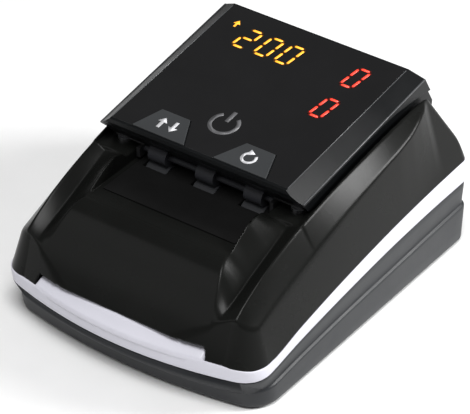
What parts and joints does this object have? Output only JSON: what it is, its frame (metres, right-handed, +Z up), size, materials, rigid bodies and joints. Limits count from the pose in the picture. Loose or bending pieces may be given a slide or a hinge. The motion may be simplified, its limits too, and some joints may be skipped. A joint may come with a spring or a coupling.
{
  "type": "counterfeit bill detector",
  "caption": "Desktop banknote detector: sloped feed tray into a roller channel under a lift-up head with dark display window, wedge keys, pale waist strip and grey base.",
  "frame": {"origin": "centre of the footprint at the level of the feet", "axes": "+Z up, -Y towards the user and the feed tray, +X to the user's right"},
  "size_m": [0.147, 0.1906, 0.1016],
  "materials": {
    "blue_grey_plastic": "satin",
    "pale_plastic": "satin",
    "black_gloss_plastic": "gloss",
    "head_plastic": "satin",
    "lens_plastic": "high gloss",
    "key_plastic": "satin",
    "black_plastic": "matte",
    "sensor_window": "gloss",
    "magnet": "plated",
    "steel": "bright",
    "sheet_steel": "zinc plated",
    "foot_rubber": "matte",
    "circuit_board": "solder mask",
    "port_shell": "plated",
    "speaker_metal": "plated",
    "cell_wrap": "shrink wrap",
    "bronze": "sintered",
    "motor_can": "plated",
    "belt_rubber": "matte",
    "amber_module": "diffuser",
    "red_module": "diffuser",
    "touch_pad": "light guide",
    "switch_metal": "dome",
    "roller_rubber": "matte",
    "pinch_rubber": "matte",
    "pulley_plastic": "moulded",
    "disc_plastic": "matte"
  },
  "bodies": {
    "base": {"lower_case": "blue_grey_plastic", "trim_strip": "pale_plastic", "upper_case": "black_gloss_plastic", "latch_magnets": "magnet", "hinge_pins": "steel", "rubber_feet": "foot_rubber", "case_screws": "steel", "board_screws": "steel", "main_board": "circuit_board", "dc_jack": "black_plastic", "update_port": "port_shell", "speaker": "speaker_metal", "battery_pack": "cell_wrap", "battery_cover": "blue_grey_plastic", "note_bed": "black_plastic", "lower_sensor_bar": "sensor_window", "magnetic_head": "port_shell", "feed_frame": "sheet_steel", "front_bushes": "bronze", "rear_bushes": "bronze", "feed_motor": "motor_can", "motor_bracket": "sheet_steel", "drive_belt": "belt_rubber", "encoder_sensor": "black_plastic"},
    "head": {"head_shell": "head_plastic", "display_lens": "lens_plastic", "display_board": "circuit_board", "display_screws": "steel", "key_switches": "switch_metal", "currency_display": "amber_module", "count_display": "red_module", "value_display": "red_module", "arrow_lamp": "amber_module", "power_touch_pad": "touch_pad", "note_guide": "black_plastic", "upper_sensor_bar": "sensor_window", "latch_plates": "sheet_steel"},
    "front_drive": {"front_drive_shaft": "steel", "front_drive_rollers": "roller_rubber", "front_pulley": "pulley_plastic"},
    "rear_drive": {"rear_drive_shaft": "steel", "rear_drive_rollers": "roller_rubber", "rear_pulley": "pulley_plastic", "encoder_disc": "disc_plastic"},
    "motor_rotor": {"motor_spindle": "steel", "motor_pulley": "pulley_plastic"},
    "front_pinch": {"front_pinch_rollers": "pinch_rubber"},
    "rear_pinch": {"rear_pinch_rollers": "pinch_rubber"},
    "left_key": {"left_key": "key_plastic"},
    "right_key": {"right_key": "key_plastic"}
  },
  "joints": [
    {"name": "head_hinge", "type": "hinge", "parent": "base", "child": "head", "pos_m": [0, 0.076, 0.079], "axis": [-1, 0, 0], "range_deg": [0, 45]},
    {"name": "front_drive_spin", "type": "hinge", "parent": "base", "child": "front_drive", "pos_m": [0, -0.0178, 0.0595], "axis": [-1, 0, 0], "continuous": true},
    {"name": "rear_drive_spin", "type": "hinge", "parent": "base", "child": "rear_drive", "pos_m": [0, 0.045, 0.0595], "axis": [-1, 0, 0], "continuous": true},
    {"name": "motor_spin", "type": "hinge", "parent": "base", "child": "motor_rotor", "pos_m": [0, 0.0136, 0.036], "axis": [-1, 0, 0], "continuous": true},
    {"name": "front_pinch_spin", "type": "hinge", "parent": "head", "child": "front_pinch", "pos_m": [0, -0.0178, 0.0713], "axis": [1, 0, 0], "continuous": true},
    {"name": "rear_pinch_spin", "type": "hinge", "parent": "head", "child": "rear_pinch", "pos_m": [0, 0.045, 0.0713], "axis": [1, 0, 0], "continuous": true},
    {"name": "left_key_press", "type": "slide", "parent": "head", "child": "left_key", "axis": [0, 0.1323, -0.9912], "range_m": [0, 0.0008], "stiffness_N_per_m": 800, "springref_m": -0.0002},
    {"name": "right_key_press", "type": "slide", "parent": "head", "child": "right_key", "axis": [0, 0.1323, -0.9912], "range_m": [0, 0.0008], "stiffness_N_per_m": 800, "springref_m": -0.0002}
  ],
  "couplings": [
    {"joint": "rear_drive_spin", "follows": "front_drive_spin", "ratio": 1},
    {"joint": "motor_spin", "follows": "front_drive_spin", "ratio": 1}
  ]
}
